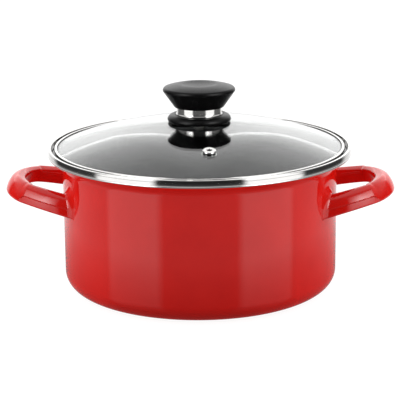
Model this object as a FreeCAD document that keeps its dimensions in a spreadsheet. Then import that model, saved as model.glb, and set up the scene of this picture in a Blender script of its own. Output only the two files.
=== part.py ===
"""Covered stock pot with a glass lid, as separate pieces in one FreeCAD document.

The frame: the origin is the centre of the base on the surface it stands on, +Z is up,
the two side handles lie along X and the steam vent faces -Y. Lengths are millimetres.
"""
import FreeCAD, Part
import Sketcher
import math
import os

from FreeCAD import Placement, Rotation, Vector

DOCUMENT_NAME = "StockPot"
FULL_TURN = 360.0
HALF_TURN = 180.0
QUARTER_TURN = 90.0
LEFT = 1
RIGHT = -1
HORIZONTAL_AXIS = -1
VERTICAL_AXIS = -2

# Driving dimensions: alias, value and what it is.
DRIVING_DIMENSIONS = [
    ("pot_radius", 120.0, "outside of the upright wall"),
    ("wall_thick", 1.8, "sheet steel with its enamel on both faces"),
    ("base_corner", 15.0, "outside radius between the base and the wall"),
    ("foot_inner", 84.0, "inside radius of the flat ring that the pot stands on"),
    ("base_hollow", 0.8, "how far the middle of the base is raised"),
    ("base_step", 4.0, "width of the slope up to the raised middle"),
    ("flare_start", 108.0, "height where the wall starts to flare out"),
    ("flare_radius", 9.0, "outside radius of the flare"),
    ("flange_corner", 2.2, "outside radius between the ledge and the rim flange"),
    ("flange_top", 123.6, "top edge of the rim flange"),
    ("trim_radius", 132.3, "outside of the steel trim ring"),
    ("trim_width", 3.0, "across the trim ring"),
    ("trim_thick", 0.5, "sheet of the trim ring"),
    ("trim_corner", 0.9, "outside radius of the trim ring's top corners"),
    ("trim_inner_skirt", 120.6, "lower edge of the trim ring's inner leg"),
    ("trim_skirt", 118.3, "lower edge of the trim ring's outer leg"),
    ("rim_top", 125.0, "top of the trim ring"),
    ("dome_radius", 353.0, "outer radius of the domed glass"),
    ("dome_apex", 146.6, "top of the glass on the axis"),
    ("glass_thick", 3.6, "thickness of the glass"),
    ("glass_radius", 124.9, "edge of the glass"),
    ("glass_bore", 4.0, "radius of the hole for the knob screw"),
    ("band_radius", 126.4, "outside of the lid's steel band"),
    ("band_thick", 0.45, "sheet of the lid's steel band"),
    ("band_lip", 124.1, "inside edge of the band's top lip"),
    ("band_top", 124.95, "top of the lid's steel band"),
    ("band_corner", 0.7, "outside radius of the band's corners"),
    ("band_seat", 118.7, "lower edge of the lid's steel band"),
    ("band_foot", 121.0, "inside edge of the band's lower lip"),
    ("seal_inner", 123.7, "inside edge of the seal's top lip"),
    ("seal_foot", 121.6, "inside edge of the seal's lower lip"),
    ("vent_distance", 82.5, "from the axis to the steam vent"),
    ("vent_angle", 7.6, "turn of the vent from -Y towards +X, in degrees"),
    ("vent_bore", 5.0, "radius of the hole in the glass for the vent"),
    ("vent_flange", 5.7, "radius of the vent's flange"),
    ("vent_hole", 2.1, "radius of the steam hole"),
    ("vent_barrel", 3.4, "radius of the vent's barrel"),
    ("vent_rise", 1.9, "height of the vent's flange above the glass"),
    ("vent_round", 1.0, "radius of the vent flange's upper edge"),
    ("vent_rivet", 5.0, "radius of the barrel's rolled lower end"),
    ("vent_rivet_thick", 0.7, "thickness of the barrel's rolled lower end"),
    ("vent_washer_radius", 6.4, "radius of the washer under the vent"),
    ("vent_washer_thick", 0.6, "thickness of the washer under the vent"),
    ("grommet_flange", 5.5, "radius of the silicone grommet's flanges"),
    ("grommet_thick", 0.5, "thickness of the silicone grommet's flanges"),
    ("grommet_gap", 0.1, "clearance around the grommet in the glass and the barrel in the grommet"),
    ("knob_seat", 147.0, "underside of the knob's base"),
    ("knob_base_radius", 27.7, "widest radius of the knob's base"),
    ("knob_base_foot", 26.6, "radius of the base at the foot of its skirt"),
    ("knob_skirt_inner", 25.7, "inside radius of the skirt that hides the gasket"),
    ("knob_skirt_foot", 146.0, "lower edge of that skirt"),
    ("knob_base_mid", 148.6, "height where the base is widest"),
    ("knob_base_turn", 3.4, "radius of the base's lower edge in section"),
    ("knob_base_round", 5.2, "radius of the base's shoulder in section"),
    ("knob_dish_round", 2.6, "radius of the ridge's inner side in section"),
    ("knob_ridge_radius", 23.4, "radius of the base's top ridge"),
    ("knob_ridge_top", 151.9, "height of the base's top ridge"),
    ("knob_dish_radius", 20.4, "radius of the hollow inside the ridge"),
    ("knob_gasket_radius", 25.6, "radius of the gasket between the knob and the glass"),
    ("knob_dish_floor", 151.0, "height of the hollow that the collar stands in"),
    ("collar_radius", 19.6, "outside of the collar"),
    ("collar_bead", 1.3, "how far the bead round the collar's foot stands out"),
    ("collar_bead_mid", 152.3, "height where that bead is widest"),
    ("collar_bead_top", 153.6, "height where that bead ends"),
    ("collar_thick", 0.9, "sheet of the collar"),
    ("cap_seat", 158.6, "underside of the knob's cap"),
    ("cap_neck", 21.5, "radius of the cap at its underside"),
    ("cap_radius", 31.4, "widest radius of the cap"),
    ("cap_edge_low", 172.6, "height where the cap's cone ends"),
    ("cap_edge_high", 175.6, "height where the cap's top starts"),
    ("cap_shoulder", 29.8, "radius where the cap's top starts"),
    ("cap_round", 3.0, "radius of the cap's rounded edge in section"),
    ("cap_crown", 70.0, "radius of the cap's top in section"),
    ("dish_radius", 16.6, "radius of the shallow dish in the cap's top"),
    ("cap_top", 178.4, "height of the cap's top at the dish"),
    ("dish_depth", 1.9, "depth of the dish"),
    ("stem_radius", 8.0, "radius of the cap's stem"),
    ("core_neck", 17.0, "radius of the cap's cored-out underside at its mouth"),
    ("core_wide", 24.0, "radius of the cap's cored-out underside at its roof"),
    ("core_roof", 169.0, "height of the roof of the cored-out underside"),
    ("thread_end", 165.0, "height of the end of the screw's hole in the cap"),
    ("insert_radius", 4.2, "radius of the threaded insert"),
    ("insert_top", 163.0, "top of the threaded insert"),
    ("insert_groove", 0.5, "depth of the groove around the insert"),
    ("insert_groove_low", 156.0, "lower side of that groove"),
    ("insert_groove_high", 158.0, "upper side of that groove"),
    ("screw_radius", 2.5, "radius of the knob screw's thread"),
    ("screw_clearance", 0.1, "radial clearance around the knob screw"),
    ("screw_head_radius", 4.8, "radius of the knob screw's pan head"),
    ("screw_head_height", 3.2, "height of the pan head"),
    ("screw_reach", 160.5, "height of the tip of the knob screw"),
    ("washer_radius", 9.0, "radius of the flat washer under the glass"),
    ("washer_thick", 1.0, "thickness of the flat washer"),
    ("lock_radius", 4.6, "radius of the spring lock washer"),
    ("lock_thick", 1.2, "thickness of the spring lock washer"),
    ("lock_turn", 346.0, "how far the split lock washer goes round, in degrees"),
    ("recess_half_width", 0.6, "half the width of each arm of the cross recess"),
    ("recess_reach", 2.7, "length of each arm of the cross recess from the axis"),
    ("recess_depth", 2.0, "depth of the cross recess"),
    ("head_round", 1.6, "radius of the pan head's lower edge"),
    ("lower_seal_radius", 10.5, "radius of the seal under the glass"),
    ("lower_seal_floor", 141.2, "underside of the seal under the glass"),
    ("handle_tilt", 10.6, "rise of the handles outwards, in degrees"),
    ("handle_plane", 68.8, "height on the axis of the handles' tilted plane"),
    ("handle_reach", 156.0, "from the axis to the far edge of a handle's opening, along the tilt"),
    ("handle_tip_curve", 40.0, "radius of the far edge of the opening"),
    ("handle_tip_sweep", 37.0, "half the angle of that far edge, in degrees"),
    ("handle_corner", 8.0, "radius of the opening's outer corners"),
    ("handle_taper", 20.2, "angle of the opening's sides to X, in degrees"),
    ("handle_run", 56.0, "length of each straight side, run on into the wall"),
    ("bar_width", 15.2, "width of a handle's bar"),
    ("bar_depth", 16.0, "depth of a handle's bar"),
    ("bar_inner_depth", 12.5, "depth of the bar's inner side"),
    ("bar_curve", 12.0, "radius of the bar's rounded outer shoulder"),
    ("bar_skin", 1.6, "sheet steel of the bar with its enamel"),
    ("bar_roll", 3.6, "radius of the bar's rolled-under lower edge"),
    ("bar_lip", 3.0, "width of the lip that the lower edge ends in"),
    ("bar_edge", 1.2, "radius of the bar's inner top edge"),
    ("bar_crown", 1.2, "rise of the bar's top above its inner edge"),
]

NUMBER_CHECK = 1e-6


class Size:
    """A size with the expression that binds it to the sheet and its value in millimetres."""

    def __init__(self, text, value):
        self.text = text
        self.value = float(value)

    def __add__(self, other):
        other = as_size(other)
        return Size(f"({self.text} + {other.text})", self.value + other.value)

    def __sub__(self, other):
        other = as_size(other)
        return Size(f"({self.text} - {other.text})", self.value - other.value)

    def __mul__(self, other):
        other = as_size(other)
        return Size(f"({self.text} * {other.text})", self.value * other.value)

    def __truediv__(self, other):
        other = as_size(other)
        return Size(f"({self.text} / {other.text})", self.value / other.value)

    def root(self):
        return Size(f"sqrt({self.text})", math.sqrt(self.value))


def as_size(value):
    return value if isinstance(value, Size) else Size(repr(float(value)), value)


ZERO = as_size(0.0)


def make_sheet(doc):
    """The sheet of driving dimensions, and the same dimensions as Size values by alias."""
    sheet = doc.addObject("Spreadsheet::Sheet", "Sizes")
    sizes = {}
    for row, (alias, value, meaning) in enumerate(DRIVING_DIMENSIONS, start=1):
        sheet.set(f"A{row}", meaning)
        sheet.set(f"B{row}", str(value))
        sheet.setAlias(f"B{row}", alias)
        sizes[alias] = Size(f"Sizes.{alias}", value)
    doc.recompute()
    return sizes


def new_body(doc, label):
    body = doc.addObject("PartDesign::Body", label + "_body")
    body.Label = label
    return body


def origin_plane(body, role):
    for feature in body.Origin.OriginFeatures:
        if feature.Role == role:
            return feature
    raise ValueError(f"{body.Name} has no {role}")


def new_sketch(body, name, role="XZ_Plane"):
    sketch = body.newObject("Sketcher::SketchObject", name)
    sketch.AttachmentSupport = [(origin_plane(body, role), "")]
    sketch.MapMode = "FlatFace"
    return sketch


def arc_edge(start, end, radius, side):
    """Arc from start to end that bulges to the left (side +1) or right (-1) of that way."""
    chord = end - start
    middle = (start + end) * 0.5
    half = chord.Length * 0.5
    height = math.sqrt(max(radius * radius - half * half, 0.0))
    left = Vector(-chord.y, chord.x, 0.0) * (1.0 / chord.Length)
    centre = middle - left * (height * side)
    crown = centre + left * (radius * side)
    return Part.Arc(start, crown, end)


def draw_outline(sketch, outline):
    """Closed outline of corners (x, y) or (x, y, radius, side), every size bound to the sheet.

    A corner with a radius is reached by an arc from the corner before it, and side says
    which way that arc bulges: +1 to the left of the way along it and -1 to the right.
    """
    points = [Vector(corner[0].value, corner[1].value, 0.0) for corner in outline]
    edges = []
    for index, corner in enumerate(outline):
        start = points[index - 1]
        end = points[index]
        if len(corner) == 2:
            edges.append(sketch.addGeometry(Part.LineSegment(start, end), False))
        else:
            curve = arc_edge(start, end, corner[2].value, corner[3])
            edges.append(sketch.addGeometry(curve, False))
    ends = [end_of(sketch, edge, points[index]) for index, edge in enumerate(edges)]
    starts = [end_of(sketch, edge, points[index - 1]) for index, edge in enumerate(edges)]
    for index, edge in enumerate(edges):
        sketch.addConstraint(
            Sketcher.Constraint("Coincident", edges[index - 1], ends[index - 1], edge, starts[index]))
    for index, corner in enumerate(outline):
        bind_distance(sketch, "DistanceX", edges[index], ends[index], corner[0])
        bind_distance(sketch, "DistanceY", edges[index], ends[index], corner[1])
        if len(corner) > 2:
            number = sketch.addConstraint(
                Sketcher.Constraint("Radius", edges[index], corner[2].value))
            sketch.setExpression(f"Constraints[{number}]", corner[2].text)


def end_of(sketch, edge, point):
    """Which end of the edge, 1 or 2, lies at the point."""
    first = (sketch.getPoint(edge, 1) - point).Length
    second = (sketch.getPoint(edge, 2) - point).Length
    return 1 if first < second else 2


def bind_distance(sketch, kind, edge, end, size):
    """Hold one coordinate of an end point at a size measured from the sketch's origin."""
    if abs(size.value) < NUMBER_CHECK:
        axis = VERTICAL_AXIS if kind == "DistanceX" else HORIZONTAL_AXIS
        sketch.addConstraint(Sketcher.Constraint("PointOnObject", edge, end, axis))
        return
    number = sketch.addConstraint(Sketcher.Constraint(kind, -1, 1, edge, end, size.value))
    sketch.setExpression(f"Constraints[{number}]", size.text)


def turned_body(doc, label, outline, turn=None):
    """A piece turned about the Z axis from an outline of (radius, height) corners."""
    body = new_body(doc, label)
    sketch = new_sketch(body, label + "_outline")
    draw_outline(sketch, outline)
    turned = body.newObject("PartDesign::Revolution", label + "_turned")
    turned.Profile = sketch
    turned.ReferenceAxis = (sketch, ["V_Axis"])
    turned.Angle = FULL_TURN
    if turn is not None:
        turned.setExpression("Angle", turn.text)
    sketch.Visibility = False
    doc.recompute()
    return body


def sphere_height(apex, radius, distance):
    """Height of a dome of that apex and radius, at a distance from its axis."""
    return apex - radius + (radius * radius - distance * distance).root()


def make_pot_shell(doc, size):
    """Deep-drawn and enamelled shell: base, wall, flare, ledge and rim flange in one sheet."""
    wall = size["wall_thick"]
    outer = size["pot_radius"]
    corner = size["base_corner"]
    flare = size["flare_radius"]
    turn = size["flange_corner"]
    flange = size["trim_radius"] - size["trim_thick"]
    ledge = size["flare_start"] + flare
    step_start = size["foot_inner"] - size["base_step"]
    return turned_body(doc, "pot_shell", [
        (ZERO, size["base_hollow"]),
        (step_start, size["base_hollow"]),
        (size["foot_inner"], ZERO),
        (outer - corner, ZERO),
        (outer, corner, corner, RIGHT),
        (outer, size["flare_start"]),
        (outer + flare, ledge, flare, LEFT),
        (flange - turn, ledge),
        (flange, ledge + turn, turn, RIGHT),
        (flange, size["flange_top"]),
        (flange - wall, size["flange_top"]),
        (flange - wall, ledge + turn),
        (flange - turn, ledge + wall, turn - wall, LEFT),
        (outer + flare, ledge + wall),
        (outer - wall, size["flare_start"], flare + wall, RIGHT),
        (outer - wall, corner),
        (outer - corner, wall, corner - wall, LEFT),
        (size["foot_inner"], wall),
        (step_start, size["base_hollow"] + wall),
        (ZERO, size["base_hollow"] + wall),
    ])


def make_rim_band(doc, size):
    """Stainless trim ring folded over the pot's rim flange."""
    outer = size["trim_radius"]
    inner = outer - size["trim_width"]
    sheet = size["trim_thick"]
    top = size["rim_top"]
    corner = size["trim_corner"]
    return turned_body(doc, "rim_band", [
        (outer - sheet, size["trim_skirt"]),
        (outer, size["trim_skirt"]),
        (outer, top - corner),
        (outer - corner, top, corner, RIGHT),
        (inner + corner, top),
        (inner, top - corner, corner, RIGHT),
        (inner, size["trim_inner_skirt"]),
        (inner + sheet, size["trim_inner_skirt"]),
        (inner + sheet, top - sheet),
        (outer - sheet, top - sheet),
    ])


def make_lid_glass(doc, size, vent_place):
    """Domed glass with a hole on the axis for the knob screw and one for the vent."""
    edge = size["glass_radius"]
    bore = size["glass_bore"]
    outer = size["dome_radius"]
    inner = outer - size["glass_thick"]
    top = size["dome_apex"]
    underside = top - size["glass_thick"]
    dome = turned_body(doc, "lid_glass_dome", [
        (bore, sphere_height(underside, inner, bore)),
        (edge, sphere_height(underside, inner, edge), inner, LEFT),
        (edge, sphere_height(top, outer, edge)),
        (bore, sphere_height(top, outer, bore), outer, RIGHT),
    ])
    drill = doc.addObject("Part::Cylinder", "vent_drill")
    drill.setExpression("Radius", size["vent_bore"].text)
    drill.setExpression("Height", (size["glass_thick"] * 4.0).text)
    start = Placement(Vector(0, 0, -2.0 * size["glass_thick"].value), Rotation())
    drill.Placement = vent_place.multiply(start)
    return cut_away(doc, "lid_glass", dome, drill)


def make_lid_rim_band(doc, size):
    """Stainless band closed over the edge of the glass."""
    outer = size["band_radius"]
    sheet = size["band_thick"]
    top = size["band_top"]
    foot = size["band_seat"]
    corner = size["band_corner"]
    return turned_body(doc, "lid_rim_band", [
        (size["band_foot"], foot),
        (outer - corner, foot),
        (outer, foot + corner, corner, RIGHT),
        (outer, top - corner),
        (outer - corner, top, corner, RIGHT),
        (size["band_lip"], top),
        (size["band_lip"], top - sheet),
        (outer - sheet, top - sheet),
        (outer - sheet, foot + sheet),
        (size["band_foot"], foot + sheet),
    ])


def make_lid_rim_seal(doc, size):
    """Silicone channel between the edge of the glass and the band."""
    edge = size["glass_radius"]
    lip = size["seal_inner"]
    foot = size["seal_foot"]
    wall = size["band_radius"] - size["band_thick"]
    roof = size["band_top"] - size["band_thick"]
    floor = size["band_seat"] + size["band_thick"]
    outer = size["dome_radius"]
    inner = outer - size["glass_thick"]
    top = size["dome_apex"]
    underside = top - size["glass_thick"]
    return turned_body(doc, "lid_rim_seal", [
        (foot, floor),
        (wall, floor),
        (wall, roof),
        (lip, roof),
        (lip, sphere_height(top, outer, lip)),
        (edge, sphere_height(top, outer, edge)),
        (edge, sphere_height(underside, inner, edge)),
        (foot, sphere_height(underside, inner, foot)),
    ])


def make_vent(doc, size, vent_place):
    """Steam vent: a riveted steel eyelet in a silicone grommet, with a washer under it.

    Heights are measured from the outer face of the glass at the vent.
    """
    hole = size["vent_hole"]
    barrel = size["vent_barrel"]
    flange = size["vent_flange"]
    lift = size["grommet_thick"]
    rise = size["vent_rise"]
    turn = size["vent_round"]
    washer_top = ZERO - size["glass_thick"] - lift
    washer_foot = washer_top - size["vent_washer_thick"]
    rivet_foot = washer_foot - size["vent_rivet_thick"]
    eyelet = turned_body(doc, "vent_eyelet", [
        (hole, rivet_foot),
        (size["vent_rivet"], rivet_foot),
        (size["vent_rivet"], washer_foot),
        (barrel, washer_foot),
        (barrel, lift),
        (flange, lift),
        (flange, rise - turn),
        (flange - turn, rise, turn, RIGHT),
        (hole + turn, rise),
        (hole, rise - turn, turn, RIGHT),
    ])
    gap = size["grommet_gap"]
    tube_outer = size["vent_bore"] - gap
    tube_inner = barrel + gap
    grommet_flange = size["grommet_flange"]
    under_glass = ZERO - size["glass_thick"] - gap
    grommet = turned_body(doc, "vent_gasket", [
        (tube_inner, washer_top),
        (grommet_flange, washer_top),
        (grommet_flange, under_glass),
        (tube_outer, under_glass),
        (tube_outer, gap * 0.5),
        (grommet_flange, gap * 0.5),
        (grommet_flange, lift),
        (tube_inner, lift),
    ])
    washer = turned_body(doc, "vent_washer", [
        (tube_inner, washer_foot),
        (size["vent_washer_radius"], washer_foot),
        (size["vent_washer_radius"], washer_top),
        (tube_inner, washer_top),
    ])
    for piece in (eyelet, grommet, washer):
        piece.Placement = vent_place
    return [eyelet, grommet, washer]


def make_knob(doc, size):
    """Knob on the lid: gasket, base, steel collar, and cap with its threaded insert."""
    outer = size["dome_radius"]
    top = size["dome_apex"]
    bore = size["screw_radius"] + size["screw_clearance"]
    gasket_edge = size["knob_gasket_radius"]
    seat = size["knob_seat"]
    gasket = turned_body(doc, "knob_gasket", [
        (bore, sphere_height(top, outer, bore)),
        (gasket_edge, sphere_height(top, outer, gasket_edge), outer, LEFT),
        (gasket_edge, seat),
        (bore, seat),
    ])
    floor = size["knob_dish_floor"]
    widest = size["knob_base_radius"]
    base = turned_body(doc, "knob_base", [
        (bore, seat),
        (size["knob_skirt_inner"], seat),
        (size["knob_skirt_inner"], size["knob_skirt_foot"]),
        (size["knob_base_foot"], size["knob_skirt_foot"]),
        (widest, size["knob_base_mid"], size["knob_base_turn"], RIGHT),
        (size["knob_ridge_radius"], size["knob_ridge_top"], size["knob_base_round"], RIGHT),
        (size["knob_dish_radius"], floor, size["knob_dish_round"], RIGHT),
        (bore, floor),
    ])
    sheet = size["collar_thick"]
    tube = size["collar_radius"]
    neck = size["cap_seat"]
    collar = turned_body(doc, "knob_collar", [
        (tube - sheet, floor),
        (tube, floor),
        (tube + size["collar_bead"], size["collar_bead_mid"]),
        (tube, size["collar_bead_top"]),
        (tube, neck),
        (tube - sheet, neck),
    ])
    dish = size["dish_radius"]
    depth = size["dish_depth"]
    dish_curve = (dish * dish + depth * depth) / (depth * 2.0)
    cap = turned_body(doc, "knob_cap", [
        (size["insert_radius"], floor),
        (size["stem_radius"], floor),
        (size["stem_radius"], size["core_roof"]),
        (size["core_wide"], size["core_roof"]),
        (size["core_neck"], neck),
        (size["cap_neck"], neck),
        (size["cap_radius"], size["cap_edge_low"]),
        (size["cap_shoulder"], size["cap_edge_high"], size["cap_round"], RIGHT),
        (dish, size["cap_top"], size["cap_crown"], RIGHT),
        (ZERO, size["cap_top"] - depth, dish_curve, LEFT),
        (ZERO, size["thread_end"]),
        (bore, size["thread_end"]),
        (bore, size["insert_top"]),
        (size["insert_radius"], size["insert_top"]),
    ])
    waist = size["insert_radius"] - size["insert_groove"]
    insert = turned_body(doc, "knob_insert", [
        (bore, floor),
        (size["insert_radius"], floor),
        (size["insert_radius"], size["insert_groove_low"]),
        (waist, size["insert_groove_low"]),
        (waist, size["insert_groove_high"]),
        (size["insert_radius"], size["insert_groove_high"]),
        (size["insert_radius"], size["insert_top"]),
        (bore, size["insert_top"]),
    ])
    return [gasket, base, collar, cap, insert]


def make_knob_fixings(doc, size):
    """Under the glass: seal, flat washer, split lock washer and the screw into the knob."""
    bore = size["screw_radius"] + size["screw_clearance"]
    inner = size["dome_radius"] - size["glass_thick"]
    underside = size["dome_apex"] - size["glass_thick"]
    seal_edge = size["lower_seal_radius"]
    seal_floor = size["lower_seal_floor"]
    seal = turned_body(doc, "knob_lower_seal", [
        (bore, seal_floor),
        (seal_edge, seal_floor),
        (seal_edge, sphere_height(underside, inner, seal_edge)),
        (bore, sphere_height(underside, inner, bore), inner, RIGHT),
    ])
    washer_floor = seal_floor - size["washer_thick"]
    washer = turned_body(doc, "knob_washer", [
        (bore, washer_floor),
        (size["washer_radius"], washer_floor),
        (size["washer_radius"], seal_floor),
        (bore, seal_floor),
    ])
    lock_floor = washer_floor - size["lock_thick"]
    lock = turned_body(doc, "knob_lock_washer", [
        (bore, lock_floor),
        (size["lock_radius"], lock_floor),
        (size["lock_radius"], washer_floor),
        (bore, washer_floor),
    ], size["lock_turn"])
    head_floor = lock_floor - size["screw_head_height"]
    turn = size["head_round"]
    head = size["screw_head_radius"]
    screw = turned_body(doc, "knob_screw", [
        (ZERO, head_floor),
        (head - turn, head_floor),
        (head, head_floor + turn, turn, RIGHT),
        (head, lock_floor),
        (size["screw_radius"], lock_floor),
        (size["screw_radius"], size["screw_reach"]),
        (ZERO, size["screw_reach"]),
    ])
    cut_cross_recess(doc, screw, size, head_floor)
    return [seal, washer, lock, screw]


def cut_cross_recess(doc, screw, size, head_floor):
    """Cross recess pressed up into the pan head."""
    before = screw.Shape.Volume
    half = size["recess_half_width"]
    reach = size["recess_reach"]
    sketch = new_sketch(screw, "recess_outline", "XY_Plane")
    sketch.setExpression("AttachmentOffset.Base.z", head_floor.text)
    draw_outline(sketch, [
        (half, ZERO - reach),
        (half, ZERO - half),
        (reach, ZERO - half),
        (reach, half),
        (half, half),
        (half, reach),
        (ZERO - half, reach),
        (ZERO - half, half),
        (ZERO - reach, half),
        (ZERO - reach, ZERO - half),
        (ZERO - half, ZERO - half),
        (ZERO - half, ZERO - reach),
    ])
    recess = screw.newObject("PartDesign::Pocket", "recess")
    recess.Profile = sketch
    recess.setExpression("Length", size["recess_depth"].text)
    recess.Reversed = True
    sketch.Visibility = False
    doc.recompute()
    if screw.Shape.Volume > before - NUMBER_CHECK:
        raise ValueError("the cross recess cut nothing")


def make_handle(doc, size, label, heading):
    """Loop handle pressed from sheet as a channel, open underneath and welded to the wall.

    The channel is swept in the body's own XY plane, which its placement tilts to rise outwards.
    """
    body = new_body(doc, label + "_loop")
    section = new_sketch(body, label + "_section")
    draw_outline(section, channel_outline(size))
    spine = new_sketch(body, label + "_spine", "XY_Plane")
    spine_edges = draw_handle_spine(spine, size)
    doc.recompute()
    half = body.newObject("PartDesign::AdditivePipe", label + "_half")
    half.Profile = section
    half.Spine = (spine, spine_edges)
    doc.recompute()
    whole = body.newObject("PartDesign::Mirrored", label + "_whole")
    whole.Originals = [half]
    whole.MirrorPlane = (origin_plane(body, "XZ_Plane"), [""])
    body.Tip = whole
    section.Visibility = False
    spine.Visibility = False
    turn = Placement(Vector(), Rotation(Vector(0, 0, 1), heading))
    lift = Placement(
        Vector(0, 0, size["handle_plane"].value),
        Rotation(Vector(0, 1, 0), -size["handle_tilt"].value))
    body.Placement = turn.multiply(lift)
    doc.recompute()
    wall = doc.addObject("Part::Cylinder", label + "_wall")
    wall.setExpression("Radius", size["pot_radius"].text)
    wall.setExpression("Height", size["rim_top"].text)
    return cut_away(doc, label, body, wall)


def channel_outline(size):
    """Section of the handle at its tip: X outwards along the tilt, Y square to it."""
    start = size["handle_reach"]
    end = start + size["bar_width"]
    foot = ZERO - size["bar_depth"]
    skin = size["bar_skin"]
    edge = size["bar_edge"]
    curve = size["bar_curve"]
    roll = size["bar_roll"]
    crown = size["bar_crown"]
    return [
        (start, ZERO - size["bar_inner_depth"]),
        (start, ZERO - edge),
        (start + edge, ZERO, edge, LEFT),
        (end - curve, crown),
        (end, crown - curve, curve, LEFT),
        (end, foot + roll),
        (end - roll, foot, roll, LEFT),
        (end - roll - size["bar_lip"], foot),
        (end - roll - size["bar_lip"], foot + skin),
        (end - roll, foot + skin),
        (end - skin, foot + roll, roll - skin, RIGHT),
        (end - skin, crown - curve),
        (end - curve, crown - skin, curve - skin, RIGHT),
        (start + skin, ZERO - skin),
        (start + skin, ZERO - size["bar_inner_depth"]),
    ]


def draw_handle_spine(sketch, size):
    """Half of the opening's edge: arc at the tip, corner arc, and straight side to the wall."""
    tip = size["handle_tip_curve"].value
    corner = size["handle_corner"].value
    reach = size["handle_reach"].value
    sweep = math.radians(size["handle_tip_sweep"].value)
    side = math.radians(QUARTER_TURN - size["handle_taper"].value)
    tip_centre = Vector(reach - tip, 0, 0)
    corner_centre = tip_centre + polar(tip - corner, sweep)
    tip_arc = Part.Arc(
        tip_centre + polar(tip, 0.0), tip_centre + polar(tip, sweep * 0.5), tip_centre + polar(tip, sweep))
    corner_arc = Part.Arc(
        corner_centre + polar(corner, sweep),
        corner_centre + polar(corner, (sweep + side) * 0.5),
        corner_centre + polar(corner, side))
    side_start = corner_centre + polar(corner, side)
    side_end = side_start + polar(size["handle_run"].value, side + math.radians(QUARTER_TURN))
    edges = [
        sketch.addGeometry(tip_arc, False),
        sketch.addGeometry(corner_arc, False),
        sketch.addGeometry(Part.LineSegment(side_start, side_end), False),
    ]
    sketch.addConstraint(Sketcher.Constraint("Tangent", edges[0], 2, edges[1], 1))
    sketch.addConstraint(Sketcher.Constraint("Tangent", edges[1], 2, edges[2], 1))
    sketch.addConstraint(Sketcher.Constraint("PointOnObject", edges[0], 1, HORIZONTAL_AXIS))
    sketch.addConstraint(Sketcher.Constraint("PointOnObject", edges[0], 3, HORIZONTAL_AXIS))
    bind_distance(sketch, "DistanceX", edges[0], 1, size["handle_reach"])
    bound = [
        (Sketcher.Constraint("Radius", edges[0], tip), size["handle_tip_curve"]),
        (Sketcher.Constraint("Radius", edges[1], corner), size["handle_corner"]),
        (Sketcher.Constraint("Distance", edges[2], size["handle_run"].value), size["handle_run"]),
    ]
    for constraint, bound_size in bound:
        number = sketch.addConstraint(constraint)
        sketch.setExpression(f"Constraints[{number}]", bound_size.text)
    return [f"Edge{index + 1}" for index in range(len(edges))]


def polar(radius, angle):
    return Vector(radius * math.cos(angle), radius * math.sin(angle), 0.0)


def cut_away(doc, label, base, tool):
    """The base piece without the tool, as a sub-part of its own."""
    cut = doc.addObject("Part::Cut", label)
    cut.Base = base
    cut.Tool = tool
    cut.Label = label
    doc.recompute()
    return cut


def vent_placement(size):
    """Where the vent's axis leaves the glass, leaning with the dome."""
    distance = size["vent_distance"].value
    heading = size["vent_angle"].value - QUARTER_TURN
    lean = math.degrees(math.asin(distance / size["dome_radius"].value))
    height = sphere_height(size["dome_apex"], size["dome_radius"], size["vent_distance"]).value
    turn = Placement(Vector(), Rotation(Vector(0, 0, 1), heading))
    place = Placement(Vector(distance, 0, height), Rotation(Vector(0, 1, 0), lean))
    return turn.multiply(place)


def check_document(doc):
    """Stop if any object of the document failed to recompute."""
    for item in doc.Objects:
        if "Invalid" in item.State or "Error" in item.State:
            raise ValueError(f"{item.Name} failed: {item.State}")


def write_pieces(pieces):
    os.makedirs("parts", exist_ok=True)
    for piece in pieces:
        shape = piece.Shape
        if shape.isNull() or not shape.isValid() or len(shape.Solids) != 1:
            raise ValueError(f"{piece.Label} is not one sound solid")
    for piece in pieces:
        piece.Shape.exportStep(f"parts/{piece.Label}.step")
        box = piece.Shape.BoundBox
        print(f"{piece.Label}: {piece.Shape.Volume:.0f} mm3, Z {box.ZMin:.2f} to {box.ZMax:.2f}")


def main():
    doc = FreeCAD.newDocument(DOCUMENT_NAME)
    size = make_sheet(doc)
    vent_place = vent_placement(size)
    pieces = [
        make_pot_shell(doc, size),
        make_rim_band(doc, size),
        make_handle(doc, size, "right_handle", 0.0),
        make_handle(doc, size, "left_handle", HALF_TURN),
        make_lid_glass(doc, size, vent_place),
        make_lid_rim_band(doc, size),
        make_lid_rim_seal(doc, size),
    ]
    pieces += make_vent(doc, size, vent_place)
    pieces += make_knob(doc, size)
    pieces += make_knob_fixings(doc, size)
    doc.recompute()
    check_document(doc)
    write_pieces(pieces)


main()
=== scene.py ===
import math

import bmesh
import bpy
from mathutils import Matrix, Vector


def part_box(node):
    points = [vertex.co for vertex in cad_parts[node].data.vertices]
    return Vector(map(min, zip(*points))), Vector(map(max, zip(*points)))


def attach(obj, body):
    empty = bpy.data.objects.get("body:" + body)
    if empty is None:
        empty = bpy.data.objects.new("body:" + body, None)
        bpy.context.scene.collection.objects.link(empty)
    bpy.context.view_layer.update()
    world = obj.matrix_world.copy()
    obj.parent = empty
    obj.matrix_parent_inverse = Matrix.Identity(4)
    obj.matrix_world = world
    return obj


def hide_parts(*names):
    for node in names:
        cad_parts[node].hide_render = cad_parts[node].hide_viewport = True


# The look of a covered stock pot: enamelled steel body and handles, steel trim, glass lid
# and a moulded knob. Lengths are metres, and angles are radians unless it says degrees.
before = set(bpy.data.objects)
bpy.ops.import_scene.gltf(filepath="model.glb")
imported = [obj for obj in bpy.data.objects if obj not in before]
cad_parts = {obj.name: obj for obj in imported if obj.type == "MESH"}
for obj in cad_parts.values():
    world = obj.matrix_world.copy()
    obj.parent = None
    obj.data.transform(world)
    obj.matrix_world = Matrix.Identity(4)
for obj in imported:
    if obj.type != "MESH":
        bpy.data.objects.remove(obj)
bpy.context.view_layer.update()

MM = 0.001
LEFT = 1
RIGHT = -1
ON_AXIS = 1e-7
ARC_STEP = math.radians(6.0)
LONGEST_CHORD = 3.0 * MM
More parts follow.
